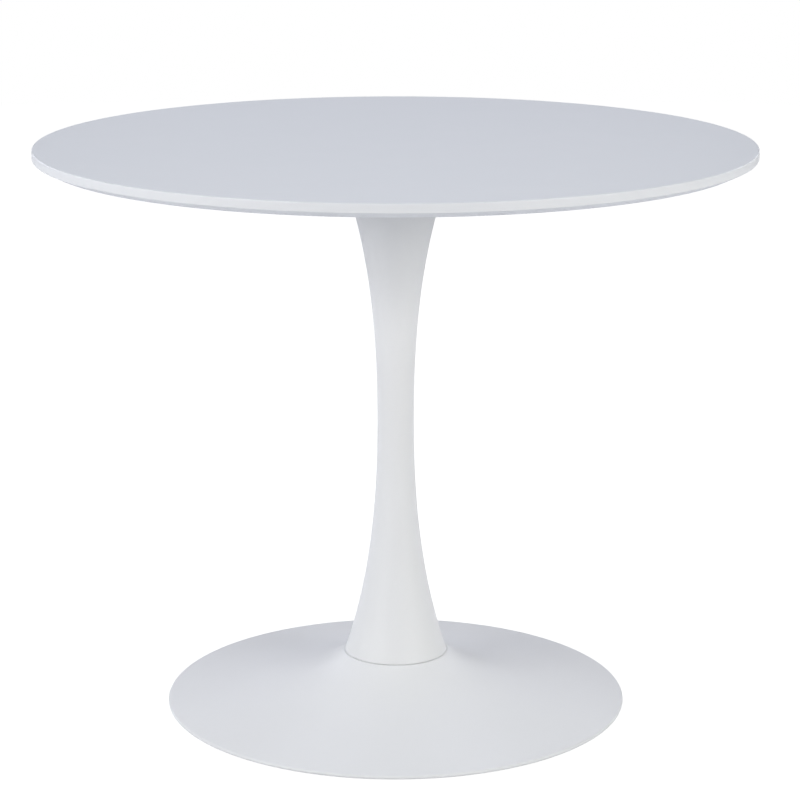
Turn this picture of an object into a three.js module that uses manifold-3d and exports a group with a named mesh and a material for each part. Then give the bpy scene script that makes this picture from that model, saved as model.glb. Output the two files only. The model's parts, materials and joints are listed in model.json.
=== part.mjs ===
// Round pedestal table: a bevelled round top, a waisted trumpet column and a flared round foot,
// pulled together by one long tie rod. Millimetres, +Z up, floor at z = 0, table axis on the z axis.
import * as THREE from "three";
import { mergeVertices } from "three/addons/utils/BufferGeometryUtils.js";
import Module from "manifold-3d";

const wasm = await Module();
wasm.setup();

// Overall sizes
const tableHeight = 730;
const topDiameter = 900;
const baseDiameter = 594;

// Sides of the turned pieces
const topSides = 72;
const roundSides = 48;
const smallSides = 12;

// Clearances
const seatGap = 0.3; // between faces that rest on each other
const looseGap = 0.5; // around bolts in plain holes, and between the cover and its casting

// Tabletop
const topThickness = 18;
const topBandHeight = 11; // upright part of the edge
const topBevelInset = 14.5; // how far the bevel under the edge runs in
const topArris = 1.8;

// Column
const columnWaistRadius = 23.2;
const columnEndRadius = 66;
const columnWall = 2;
const columnRoundness = 0.55; // share of the flare that grows with the square of the distance
const spigotDepth = 10; // how far a casting reaches into either end of the column

// Foot
const crownHeight = 65.7; // flat seat for the column, above the floor
const seatMargin = 2; // of the seat outside the column's edge
const flareDrop = 31; // height lost in the quick curve beside the column
const flareReach = 45; // over how much radius that curve fades out
const coverWall = 1.5;
const rimHeight = 5; // rolled edge
const rimLift = 2; // its underside above the floor
const rimLip = 6.5; // width of the turned-under lip
const castingInset = 60; // casting edge inside the foot's edge
const castingThickness = 7.5;
const castingRoof = 14; // above the nut's pocket
const pocketRadius = 42;
const pocketTaper = 3;
const bossRadius = 56;
const bossFillet = 7;
const glideBossRadius = 10;
const glideBossHeight = 2.5;

// Tie rod
const rodRadius = 6;
const nutAcrossFlats = 19;
const nutHeight = 10;
const washerRadius = 12;
const washerThickness = 2.5;
const rodOverhang = 2.4; // of the rod beyond each nut

// Top spider
const hubDepth = 22; // from the tabletop's underside down to the column
const wellRadius = 40; // open well for the top nut
const wellMargin = 2; // from the rod's end up to the spider's top
const armReach = 250; // centre of the arm's round end
const armWidth = 44;
const armThickness = 5;
const armCount = 4;
const webThickness = 4;
const webReach = 240;
const screwRings = [150, 232];

// Screws and inserts
const screwRadius = 3;
const screwGrip = 11; // length inside the tabletop
const headRadius = 6;
const headHeight = 3.6;
const socketRadius = 2.1;
const socketDepth = 2;
const insertWall = 1.2;
const insertLength = 12;

// Levelling glides
const glideCount = 5;
const glideInset = 90; // glide axis inside the foot's edge
const padRadius = 18;
const padHeight = 5;
const padFloor = 1.2;
const padChamfer = 1;
const studRadius = 4;
const studHeadRadius = 7;
const studHeadHeight = 2;

// Worked out from the above
const baseRadius = baseDiameter / 2;
const undersideHeight = tableHeight - topThickness;
const columnFoot = crownHeight + seatGap;
const columnTop = undersideHeight - hubDepth;
const columnLength = columnTop - columnFoot;
const flareStart = columnEndRadius + seatMargin;
const rimRadius = rimHeight / 2;
const flareEnd = baseRadius - rimRadius;
const castingRadius = baseRadius - castingInset;
const castingBottom = padHeight + seatGap;
const castingTop = castingBottom + castingThickness;
const glideRadius = baseRadius - glideInset;
const spiderTop = undersideHeight - seatGap;
const nutStack = washerThickness + nutHeight + 2 * seatGap;
const wellFloor = spiderTop - wellMargin - rodOverhang - nutStack;

const lacquer = { color: 0xe6e8ec, roughness: 0.42, metalness: 0 };
const powderCoat = { color: 0xe3e5e9, roughness: 0.5, metalness: 0 };
const ironPaint = { color: 0x3a3b3d, roughness: 0.7, metalness: 0.2 };
const zinc = { color: 0xb4b7ba, roughness: 0.35, metalness: 0.9 };
const brass = { color: 0xb99a55, roughness: 0.4, metalness: 0.9 };
const nylon = { color: 0xdcdcd8, roughness: 0.6, metalness: 0 };

// Half-section points [radius, height] turned about the z axis.
function turned(points, segments) {
  const profile = points.map(([r, z]) => new THREE.Vector2(r, z));
  return new THREE.LatheGeometry(profile, segments).rotateX(Math.PI / 2);
}

// A ring's half-section closes on itself.
function turnedRing(points, segments) {
  return turned([...points, points[0]], segments);
}

function solidOf(geometry) {
  const bare = geometry.index ? geometry.toNonIndexed() : geometry.clone();
  bare.deleteAttribute("normal");
  bare.deleteAttribute("uv");
  const merged = mergeVertices(bare, 1e-3);
  return new wasm.Manifold(
    new wasm.Mesh({
      numProp: 3,
      vertProperties: new Float32Array(merged.attributes.position.array),
      triVerts: new Uint32Array(merged.index.array),
    }),
  );
}

function geometryOf(solid) {
  const made = solid.getMesh();
  const geometry = new THREE.BufferGeometry();
  geometry.setAttribute("position", new THREE.BufferAttribute(made.vertProperties, 3));
  geometry.setIndex(new THREE.BufferAttribute(made.triVerts, 1));
  geometry.computeVertexNormals();
  return geometry;
}

function rod(radius, from, to) {
  return turned([[0, from], [radius, from], [radius, to], [0, to]], smallSides);
}

function cutAll(geometry, cutters) {
  return geometryOf(cutters.reduce((body, cutter) => body.subtract(solidOf(cutter)), solidOf(geometry)));
}

function piece(name, geometry, look) {
  const mesh = new THREE.Mesh(geometry, new THREE.MeshStandardMaterial(look));
  mesh.name = name;
  return mesh;
}

function onCircle(radius, angle, height = 0) {
  return new THREE.Vector3(radius * Math.cos(angle), radius * Math.sin(angle), height);
}

function columnRadius(height) {
  const reach = Math.abs((2 * height) / columnLength - 1);
  const flare = columnRoundness * reach ** 2 + (1 - columnRoundness) * reach ** 3;
  return columnWaistRadius + (columnEndRadius - columnWaistRadius) * flare;
}

// Height of the foot's outer surface above the floor.
function coverHeight(radius) {
  const curve = (r) => flareDrop * (1 - Math.exp((flareStart - r) / flareReach));
  const coneDrop = crownHeight - rimLift - rimHeight - curve(flareEnd);
  return crownHeight - curve(radius) - (coneDrop * (radius - flareStart)) / (flareEnd - flareStart);
}

function coverInside(radius) {
  const slope = coverHeight(radius + 0.5) - coverHeight(radius - 0.5);
  return coverHeight(radius) - coverWall * Math.hypot(1, slope);
}

// Radii at which the foot's flare is sampled, closer together beside the column.
function flareRadii(outerRadius) {
  const steps = 10;
  const all = Array.from({ length: steps }, (_, i) => {
    return flareStart + (flareEnd - flareStart) * (i / steps) ** 1.5;
  });
  return all.filter((r) => r < outerRadius);
}

const spigotRadius = columnRadius(spigotDepth) - columnWall * 1.1 - seatGap;

const screwPlaces = [];
for (let arm = 0; arm < armCount; arm++) {
  const angle = (2 * Math.PI * (arm + 0.5)) / armCount;
  screwRings.forEach((ring) => screwPlaces.push(onCircle(ring, angle)));
}

function tabletop() {
  const edge = topDiameter / 2;
  const round = (t) => [
    edge - topArris * (1 - Math.sin(t)),
    topThickness - topArris * (1 - Math.cos(t)),
  ];
  const section = [
    [0, 0],
    [edge - topBevelInset, 0],
    [edge, topThickness - topBandHeight],
    round(Math.PI / 2),
    round(Math.PI / 4),
    round(0),
    [0, topThickness],
  ];
  const holeRadius = screwRadius + seatGap + insertWall + seatGap;
  const holes = screwPlaces.map((place) =>
    rod(holeRadius, -1, insertLength + 2 * seatGap).translate(place.x, place.y, 0),
  );
  const mesh = piece("tabletop", cutAll(turned(section, topSides), holes), lacquer);
  mesh.position.z = undersideHeight;
  return mesh;
}

function threadedInsert(name) {
  const bore = screwRadius + seatGap;
  const section = [
    [bore, 0],
    [bore + insertWall, 0],
    [bore + insertWall, insertLength],
    [bore, insertLength],
  ];
  return piece(name, turnedRing(section, smallSides), brass);
}

// Button-head machine screw, head down, with the top of its head at local z = 0.
function topScrew(name) {
  const section = [
    [0, socketDepth - headHeight],
    [socketRadius, socketDepth - headHeight],
    [socketRadius, -headHeight],
    [headRadius * 0.6, -headHeight],
    [headRadius, -headHeight * 0.45],
    [headRadius, 0],
    [screwRadius, 0],
    [screwRadius, armThickness + screwGrip],
    [0, armThickness + screwGrip],
  ];
  return piece(name, turned(section, smallSides), zinc);
}

function topFixings() {
  const group = new THREE.Group();
  screwPlaces.forEach((place, i) => {
    const insert = threadedInsert(`insert_${i + 1}`);
    insert.position.set(place.x, place.y, undersideHeight + seatGap);
    const screw = topScrew(`top_screw_${i + 1}`);
    screw.position.set(place.x, place.y, spiderTop - armThickness - seatGap);
    group.add(insert, screw);
  });
  return group;
}

// One channel-shaped arm of the spider along +x, with a tapered flange down each side.
function spiderArm() {
  const half = armWidth / 2;
  const outline = new THREE.Shape();
  outline.moveTo(0, -half);
  outline.lineTo(armReach, -half);
  outline.absarc(armReach, 0, half, -Math.PI / 2, Math.PI / 2, false);
  outline.lineTo(0, half);
  outline.closePath();
  const plate = new THREE.ExtrudeGeometry(outline, {
    depth: armThickness,
    bevelEnabled: false,
    curveSegments: 8,
  }).translate(0, 0, -armThickness);

  const hubBottom = columnTop + seatGap - spiderTop;
  const side = new THREE.Shape();
  side.moveTo(wellRadius + 1, hubBottom + 2);
  side.lineTo(columnEndRadius, hubBottom + 2);
  side.lineTo(webReach, -armThickness - 1);
  side.lineTo(webReach, -armThickness / 2);
  side.lineTo(wellRadius + 1, -armThickness / 2);
  side.closePath();
  const web = new THREE.ExtrudeGeometry(side, { depth: webThickness, bevelEnabled: false });
  web.rotateX(Math.PI / 2);
  const left = solidOf(web.clone().translate(0, half, 0));
  const right = solidOf(web.clone().translate(0, webThickness - half, 0));
  return solidOf(plate).add(left).add(right);
}

function topSpider() {
  const hubBottom = columnTop + seatGap - spiderTop;
  const spigotBottom = hubBottom - seatGap - spigotDepth;
  const hub = [
    [0, spigotBottom],
    [spigotRadius - 2, spigotBottom],
    [spigotRadius, spigotBottom + 2],
    [spigotRadius, hubBottom],
    [columnEndRadius, hubBottom],
    [columnEndRadius, 0],
    [0, 0],
  ];
  const arm = spiderArm();
  let body = solidOf(turned(hub, roundSides));
  for (let i = 0; i < armCount; i++) {
    body = body.add(arm.rotate([0, 0, (360 * (i + 0.5)) / armCount]));
  }
  body = body.subtract(solidOf(rod(wellRadius, wellFloor - spiderTop, 1)));
  body = body.subtract(solidOf(rod(rodRadius + looseGap, spigotBottom - 1, 1)));
  screwPlaces.forEach((place) => {
    const hole = rod(screwRadius + looseGap, -armThickness * 4, 1);
    body = body.subtract(solidOf(hole.translate(place.x, place.y, 0)));
  });
  const mesh = piece("top_spider", geometryOf(body), powderCoat);
  mesh.position.z = spiderTop;
  return mesh;
}

function columnShell() {
  const steps = 12;
  const heights = Array.from({ length: steps + 1 }, (_, i) => (columnLength * i) / steps);
  const wallAt = (z) => columnWall * Math.hypot(1, columnRadius(z + 0.5) - columnRadius(z - 0.5));
  const outside = heights.map((z) => [columnRadius(z), z]);
  const inside = heights.map((z) => [columnRadius(z) - wallAt(z), z]).reverse();
  const mesh = piece("column_shell", turnedRing([...outside, ...inside], roundSides), powderCoat);
  mesh.position.z = columnFoot;
  return mesh;
}

function hexNut(name) {
  const outline = new THREE.Shape();
  for (let i = 0; i < 6; i++) {
    const corner = onCircle(nutAcrossFlats / Math.sqrt(3), (i * Math.PI) / 3);
    if (i === 0) outline.moveTo(corner.x, corner.y);
    else outline.lineTo(corner.x, corner.y);
  }
  outline.closePath();
  const bore = new THREE.Path();
  bore.absarc(0, 0, rodRadius + seatGap, 0, 2 * Math.PI, true);
  outline.holes.push(bore);
  const block = new THREE.ExtrudeGeometry(outline, {
    depth: nutHeight,
    bevelEnabled: false,
    curveSegments: 8,
  });
  return piece(name, block, zinc);
}

function washer(name) {
  const section = [
    [rodRadius + looseGap, 0],
    [washerRadius, 0],
    [washerRadius, washerThickness],
    [rodRadius + looseGap, washerThickness],
  ];
  return piece(name, turnedRing(section, smallSides), zinc);
}

// The rod with a nut and washer in the casting's pocket and another pair in the spider's well.
function tieRodSet() {
  const pocketRoof = columnFoot + spigotDepth - castingRoof;
  const lowWasher = pocketRoof - seatGap - washerThickness;
  const lowNut = lowWasher - seatGap - nutHeight;
  const highWasher = wellFloor + seatGap;
  const highNut = highWasher + washerThickness + seatGap;
  const rodBottom = lowNut - rodOverhang;
  const rodTop = highNut + nutHeight + rodOverhang;
  const chamfer = 1;
  const section = [
    [0, rodBottom],
    [rodRadius - chamfer, rodBottom],
    [rodRadius, rodBottom + chamfer],
    [rodRadius, rodTop - chamfer],
    [rodRadius - chamfer, rodTop],
    [0, rodTop],
  ];
  const group = new THREE.Group();
  const parts = [
    [piece("tie_rod", turned(section, smallSides), zinc), 0],
    [hexNut("tie_rod_bottom_nut"), lowNut],
    [washer("tie_rod_bottom_washer"), lowWasher],
    [washer("tie_rod_top_washer"), highWasher],
    [hexNut("tie_rod_top_nut"), highNut],
  ];
  parts.forEach(([mesh, height]) => {
    mesh.position.z = height;
    group.add(mesh);
  });
  return group;
}

// Points on a quarter or half turn of the rolled rim, from one angle to another.
function rimArc(radius, from, to) {
  const steps = 3;
  return Array.from({ length: steps + 1 }, (_, i) => {
    const angle = from + ((to - from) * i) / steps;
    return [flareEnd + radius * Math.cos(angle), rimLift + rimRadius + radius * Math.sin(angle)];
  });
}

function baseCover() {
  const hole = spigotRadius + seatGap;
  const radii = flareRadii(flareEnd);
  const section = [
    [hole, crownHeight],
    ...radii.map((r) => [r, coverHeight(r)]),
    ...rimArc(rimRadius, Math.PI / 2, -Math.PI / 2),
    [flareEnd - rimLip, rimLift],
    [flareEnd - rimLip, rimLift + coverWall],
    ...rimArc(rimRadius - coverWall, -Math.PI / 2, Math.PI / 2),
    ...radii.map((r) => [r, coverInside(r)]).reverse(),
    [hole, crownHeight - coverWall],
  ];
  return piece("base_cover", turnedRing(section.reverse(), roundSides), powderCoat);
}

// Flat iron disc with a hollow boss in the middle, which carries the cover's seat and the column.
function baseCasting() {
  const shoulderTop = coverInside(flareStart) - seatGap;
  const spigotTop = columnFoot + spigotDepth;
  const pocketRoof = spigotTop - castingRoof;
  const section = [
    [0, pocketRoof],
    [pocketRadius - pocketTaper, pocketRoof],
    [pocketRadius, castingBottom],
    [castingRadius, castingBottom],
    [castingRadius, castingTop],
    [bossRadius + bossFillet, castingTop],
    [bossRadius, castingTop + bossFillet],
    [bossRadius, shoulderTop - 2 * (columnEndRadius - bossRadius)],
    [columnEndRadius, shoulderTop - (columnEndRadius - bossRadius)],
    [columnEndRadius, shoulderTop],
    [spigotRadius, shoulderTop],
    [spigotRadius, spigotTop - 2],
    [spigotRadius - 2, spigotTop],
    [0, spigotTop],
  ];
  const places = Array.from({ length: glideCount }, (_, i) => glidePlace(i));
  const boss = rod(glideBossRadius, castingBottom + 1, castingTop + glideBossHeight);
  const bored = rod(studRadius + seatGap, 0, crownHeight);
  let body = solidOf(turned(section, roundSides));
  places.forEach((place) => {
    body = body.add(solidOf(boss.clone().translate(place.x, place.y, 0)));
  });
  const holes = places.map((place) => bored.clone().translate(place.x, place.y, 0));
  holes.push(rod(rodRadius + looseGap, pocketRoof - 1, spigotTop + 1));
  return piece("base_casting", cutAll(geometryOf(body), holes), ironPaint);
}

function glidePlace(index) {
  return onCircle(glideRadius, (2 * Math.PI * index) / glideCount - Math.PI / 2);
}

// Nylon foot moulded loosely round the head of its stud, so that the stud can turn in it.
function glidePad(name) {
  const headSpace = padFloor + studHeadHeight + 2 * seatGap;
  const section = [
    [0, 0],
    [padRadius - padChamfer, 0],
    [padRadius, padChamfer],
    [padRadius, padHeight - padChamfer],
    [padRadius - padChamfer, padHeight],
    [studRadius + seatGap, padHeight],
    [studRadius + seatGap, headSpace],
    [studHeadRadius + seatGap, headSpace],
    [studHeadRadius + seatGap, padFloor],
    [0, padFloor],
  ];
  return piece(name, turned(section, smallSides), nylon);
}

function glideStud(name) {
  const bottom = padFloor + seatGap;
  const top = coverInside(glideRadius + studRadius) - looseGap;
  const section = [
    [0, bottom],
    [studHeadRadius, bottom],
    [studHeadRadius, bottom + studHeadHeight],
    [studRadius, bottom + studHeadHeight],
    [studRadius, top - 0.8],
    [studRadius - 0.8, top],
    [0, top],
  ];
  return piece(name, turned(section, smallSides), zinc);
}

function glides() {
  const group = new THREE.Group();
  for (let i = 0; i < glideCount; i++) {
    const glide = new THREE.Group();
    glide.add(glidePad(`glide_${i + 1}_pad`), glideStud(`glide_${i + 1}_stud`));
    glide.position.copy(glidePlace(i));
    group.add(glide);
  }
  return group;
}

const table = new THREE.Group();
table.add(tabletop(), topFixings(), topSpider());
table.add(columnShell(), tieRodSet());
table.add(baseCover(), baseCasting(), glides());

export default table;
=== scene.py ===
import json
import math
from functools import partial

import bmesh
import bpy
from mathutils import Matrix, Vector


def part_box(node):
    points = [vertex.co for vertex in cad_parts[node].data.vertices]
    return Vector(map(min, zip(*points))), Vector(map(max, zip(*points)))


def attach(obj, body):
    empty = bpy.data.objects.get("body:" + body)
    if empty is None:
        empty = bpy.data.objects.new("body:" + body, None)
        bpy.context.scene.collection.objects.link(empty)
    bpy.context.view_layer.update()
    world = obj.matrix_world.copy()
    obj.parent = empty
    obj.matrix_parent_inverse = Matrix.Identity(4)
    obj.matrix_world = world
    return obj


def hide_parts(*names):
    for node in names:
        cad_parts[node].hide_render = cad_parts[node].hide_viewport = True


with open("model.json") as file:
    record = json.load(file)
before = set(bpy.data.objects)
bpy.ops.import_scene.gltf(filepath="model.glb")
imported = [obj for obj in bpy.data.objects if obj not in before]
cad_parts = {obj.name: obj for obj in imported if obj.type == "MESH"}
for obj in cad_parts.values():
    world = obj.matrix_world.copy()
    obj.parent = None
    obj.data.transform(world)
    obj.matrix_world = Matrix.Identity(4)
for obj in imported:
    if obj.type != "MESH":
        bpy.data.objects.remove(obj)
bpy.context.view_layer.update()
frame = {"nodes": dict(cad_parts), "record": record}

scene = bpy.context.scene
scene.view_settings.view_transform = "Standard"
scene.view_settings.look = "None"
print("frame loaded:", len(frame["nodes"]), "pieces")


# camera and studio

cameraValues = {
    "distance": 3.296,
    "height": 1.2146,
    "sideways": 0.0055,
    "downTilt": math.radians(13.884),
    "lens": 119.75,
}


def makeCamera(values):
    data = bpy.data.cameras.new("tableCamera")
    data.lens = values["lens"]
    data.sensor_width = 36
    data.clip_end = 100
    camera = bpy.data.objects.new("tableCamera", data)
    camera.location = (values["sideways"], -values["distance"], values["height"])
    camera.rotation_euler = (math.pi / 2 - values["downTilt"], 0, 0)
    scene.collection.objects.link(camera)
    scene.camera = camera


makeCamera(cameraValues)

boxValues = {
    "wide": {"distance": 4.5, "size": (2.4, 1.4)},
    "small": {"distance": 4.4, "size": (1.6, 0.9)},
    "raised": {"distance": 4.2, "size": (2.2, 1.6)},
    "ceiling": {"distance": 3.6, "size": (2.6, 2.6)},
}

tintValues = {
    "warm": (1.0, 0.987, 0.964),
    "leftCool": (0.970, 0.984, 1.0),
    "rightWarm": (0.998, 1.0, 0.90),
    "highCool": (0.850, 0.920, 1.0),
    "backCool": (0.875, 0.888, 1.0),
}

# turn 0 is in front of the table and 90 on its right
lightValues = {
    "frontLeft": {"box": "wide", "turn": -45, "rise": 20, "power": 69.2, "tint": "warm"},
    "frontRight": {"box": "wide", "turn": 45, "rise": 20, "power": 72.0, "tint": "warm"},
    "left": {"box": "wide", "turn": -90, "rise": 20, "power": 27.7, "tint": "leftCool"},
    "leftLow": {"box": "small", "turn": -75, "rise": 12, "power": 15.9, "tint": "leftCool"},
    "right": {"box": "wide", "turn": 90, "rise": 20, "power": 11.5, "tint": "rightWarm"},
    "rightLow": {"box": "small", "turn": 75, "rise": 12, "power": 17.5, "tint": "rightWarm"},
    "leftHigh": {"box": "raised", "turn": -60, "rise": 45, "power": 27.1, "tint": "highCool"},
    "rightHigh": {"box": "raised", "turn": 60, "rise": 45, "power": 22.4, "tint": "highCool"},
    "overhead": {"box": "ceiling", "turn": 0, "rise": 85, "power": 18.8, "tint": "highCool"},
    "backLeft": {"box": "wide", "turn": -135, "rise": 20, "power": 36.6, "tint": "backCool"},
    "backRight": {"box": "wide", "turn": 135, "rise": 20, "power": 34.2, "tint": "backCool"},
    "back": {"box": "wide", "turn": 180, "rise": 20, "power": 8.2, "tint": "backCool"},
    "backHigh": {"box": "raised", "turn": 180, "rise": 45, "power": 26.8, "tint": "backCool"},
}

aimHeight = 0.45


def addSoftbox(name, values):
    # the box faces a point on the table's axis
    box = boxValues[values["box"]]
    data = bpy.data.lights.new(name, "AREA")
    data.shape = "RECTANGLE"
    data.size, data.size_y = box["size"]
    data.energy = values["power"]
    data.color = tintValues[values["tint"]]
    lamp = bpy.data.objects.new(name, data)
    turn, rise = math.radians(values["turn"]), math.radians(values["rise"])
    level = box["distance"] * math.cos(rise)
    aim = Vector((0, 0, aimHeight))
    lift = box["distance"] * math.sin(rise)
    lamp.location = aim + Vector((level * math.sin(turn), -level * math.cos(turn), lift))
    lamp.rotation_euler = (aim - lamp.location).to_track_quat("-Z", "Y").to_euler()
    lamp.visible_camera = False
    scene.collection.objects.link(lamp)


for side, values in lightValues.items():
    addSoftbox(side + "Softbox", values)

skyValues = {"seen": (1, 1, 1), "dome": (0, 0, 0)}


def makeSky(values):
    # white where the camera looks past the floor, and no light of its own on the table
    world = bpy.data.worlds.new("softSky")
    scene.world = world
    world.use_nodes = True
    nodes, links = world.node_tree.nodes, world.node_tree.links
    nodes.clear()
    output = nodes.new("ShaderNodeOutputWorld")
    chooser = nodes.new("ShaderNodeMixShader")
    lightPath = nodes.new("ShaderNodeLightPath")
    links.new(lightPath.outputs["Is Camera Ray"], chooser.inputs["Fac"])
    for slot, label in ((1, "dome"), (2, "seen")):
        background = nodes.new("ShaderNodeBackground")
        background.inputs["Color"].default_value = (*values[label], 1)
        links.new(background.outputs["Background"], chooser.inputs[slot])
    links.new(chooser.outputs["Shader"], output.inputs["Surface"])


makeSky(skyValues)
print("camera and studio lights ready")


# shader node groups

def newGroup(name, numbers, results):
    # a shader group that takes a vector and numbers, and gives numbers
    tree = bpy.data.node_groups.new(name, "ShaderNodeTree")
    tree.interface.new_socket("Vector", in_out="INPUT", socket_type="NodeSocketVector")
    for label, value in numbers.items():
        socket = tree.interface.new_socket(label, in_out="INPUT", socket_type="NodeSocketFloat")
        socket.default_value = value
    for label in results:
        tree.interface.new_socket(label, in_out="OUTPUT", socket_type="NodeSocketFloat")
    return tree, tree.nodes.new("NodeGroupInput"), tree.nodes.new("NodeGroupOutput")


def addMath(tree, operation, first, second=None, clamp=False):
    node = tree.nodes.new("ShaderNodeMath")
    node.operation = operation
    node.use_clamp = clamp
    for index, value in enumerate((first, second)):
        if value is None:
            continue
        if isinstance(value, (int, float)):
            node.inputs[index].default_value = value
        else:
            tree.links.new(value, node.inputs[index])
    return node.outputs["Value"]


def addNoise(tree, vector, scale, detail, roughness=0.5):
    node = tree.nodes.new("ShaderNodeTexNoise")
    node.inputs["Detail"].default_value = detail
    node.inputs["Roughness"].default_value = roughness
    tree.links.new(vector, node.inputs["Vector"])
    if isinstance(scale, (int, float)):
        node.inputs["Scale"].default_value = scale
    else:
        tree.links.new(scale, node.inputs["Scale"])
    return node.outputs["Fac"]


def addRange(tree, value, fromMin, fromMax, toMin=0.0, toMax=1.0):
    node = tree.nodes.new("ShaderNodeMapRange")
    node.interpolation_type = "SMOOTHSTEP"
    tree.links.new(value, node.inputs["Value"])
    for label, number in zip(("From Min", "From Max", "To Min", "To Max"), (fromMin, fromMax, toMin, toMax)):
        if isinstance(number, (int, float)):
            node.inputs[label].default_value = number
        else:
            tree.links.new(number, node.inputs[label])
    return node.outputs["Result"]


def coatGrainGroup():
    # dimples of a sprayed or baked coat: a broad ripple with a finer pebble on it
    numbers = {"Ripple Scale": 160.0, "Pebble Scale": 900.0, "Pebble Share": 0.5}
    tree, given, result = newGroup("coatGrain", numbers, ["Height", "Speckle"])
    ripple = addNoise(tree, given.outputs["Vector"], given.outputs["Ripple Scale"], 2.0)
    pebble = addNoise(tree, given.outputs["Vector"], given.outputs["Pebble Scale"], 3.0, 0.6)
    share = given.outputs["Pebble Share"]
    height = addMath(tree, "ADD", addMath(tree, "MULTIPLY", pebble, share),
                     addMath(tree, "MULTIPLY", ripple, addMath(tree, "SUBTRACT", 1.0, share)))
    tree.links.new(height, result.inputs["Height"])
    tree.links.new(addRange(tree, pebble, 0.3, 0.75), result.inputs["Speckle"])
    return tree


def softPatchesGroup():
    # slow changes of tone and gloss over a hand's breadth, from handling and uneven spraying
    tree, given, result = newGroup("softPatches", {"Scale": 6.0}, ["Mask"])
    broad = addNoise(tree, given.outputs["Vector"], given.outputs["Scale"], 3.0, 0.55)
    tree.links.new(addRange(tree, broad, 0.3, 0.7), result.inputs["Mask"])
    return tree


def edgeHighlightAndWearGroup():
    # mask of convex edges, broken up by noise: on the white coats it carries a painted highlight, on zinc and
    # nylon the wear where hands and cloths thin or polish them
    tree, given, result = newGroup("edgeHighlightAndWear", {"Start": 0.53, "Full": 0.62, "Break Up": 60.0}, ["Mask"])
    geometry = tree.nodes.new("ShaderNodeNewGeometry")
    edge = addRange(tree, geometry.outputs["Pointiness"], given.outputs["Start"], given.outputs["Full"])
    noise = addNoise(tree, given.outputs["Vector"], given.outputs["Break Up"], 4.0, 0.6)
    broken = addRange(tree, noise, 0.35, 0.65)
    tree.links.new(addMath(tree, "MULTIPLY", edge, broken), result.inputs["Mask"])
    return tree


def hairScratchesGroup():
    # sparse hairlines, two sets crossing, as a wiped surface gets
    tree, given, result = newGroup("hairScratches", {"Density": 0.5}, ["Mask"])
    lines = []
    for angle, stretch in ((0.5, (260.0, 3.0, 260.0)), (-0.9, (3.4, 310.0, 310.0))):
        mapping = tree.nodes.new("ShaderNodeMapping")
        mapping.inputs["Rotation"].default_value = (0, 0, angle)
        mapping.inputs["Scale"].default_value = stretch
        tree.links.new(given.outputs["Vector"], mapping.inputs["Vector"])
        strand = addNoise(tree, mapping.outputs["Vector"], 1.0, 1.0)
        lines.append(addRange(tree, strand, 0.72, 0.78))
    both = addMath(tree, "MAXIMUM", lines[0], lines[1])
    patchy = addRange(tree, addNoise(tree, given.outputs["Vector"], 9.0, 2.0), 0.45, 0.7)
    mask = addMath(tree, "MULTIPLY", addMath(tree, "MULTIPLY", both, patchy), given.outputs["Density"], True)
    tree.links.new(mask, result.inputs["Mask"])
    return tree


groups = {
    "coatGrain": coatGrainGroup(),
    "softPatches": softPatchesGroup(),
    "edgeHighlightAndWear": edgeHighlightAndWearGroup(),
    "hairScratches": hairScratchesGroup(),
}


# materials

def startMaterial(name, values):
    material = bpy.data.materials.new(name)
    material.use_nodes = True
    tree = material.node_tree
    shader = tree.nodes["Principled BSDF"]
    for label, value in values.items():
        shader.inputs[label].default_value = value
    coordinate = tree.nodes.new("ShaderNodeTexCoord")
    return material, tree, shader, coordinate.outputs["Object"]


def useGroup(tree, name, vector, **values):
    node = tree.nodes.new("ShaderNodeGroup")
    node.node_tree = groups[name]
    tree.links.new(vector, node.inputs["Vector"])
    for label, value in values.items():
        words = "".join(" " + c if c.isupper() else c for c in label).title()
        node.inputs[words].default_value = value
    return node.outputs


def mixColours(tree, mask, first, second, amount=1.0):
    node = tree.nodes.new("ShaderNodeMix")
    node.data_type = "RGBA"
    scaled = addMath(tree, "MULTIPLY", mask, amount)
    tree.links.new(scaled, node.inputs["Factor"])
    for label, colour in (("A", first), ("B", second)):
        if isinstance(colour, tuple):
            node.inputs[label].default_value = (*colour, 1)
        else:
            tree.links.new(colour, node.inputs[label])
    return node.outputs["Result"]


def addBump(tree, shader, height, strength, distance):
    node = tree.nodes.new("ShaderNodeBump")
    node.inputs["Strength"].default_value = strength
    node.inputs["Distance"].default_value = distance
    tree.links.new(height, node.inputs["Height"])
    tree.links.new(node.outputs["Normal"], shader.inputs["Normal"])


lacquerValues = {
    "colour": (0.799, 0.807, 0.828),
    "patch": (0.792, 0.801, 0.823),
    "patchScale": 4.5,
    "grain": {"rippleScale": 210.0, "pebbleScale": 1100.0, "pebbleShare": 0.25},
    # the edge mask and the lighter edge colour below paint a highlight along the convex edges
    "rub": {"start": 0.515, "full": 0.56, "breakUp": 22.0},
    "rubbed": (0.835, 0.842, 0.860),
    "rubMix": 0.35,
    "scratchDensity": 0.6,
    "scratchGloss": 0.14,
    "scratchDepth": 0.25,
    "gloss": (0.43, 0.47),
    "relief": (0.18, 0.00004),
}


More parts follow.
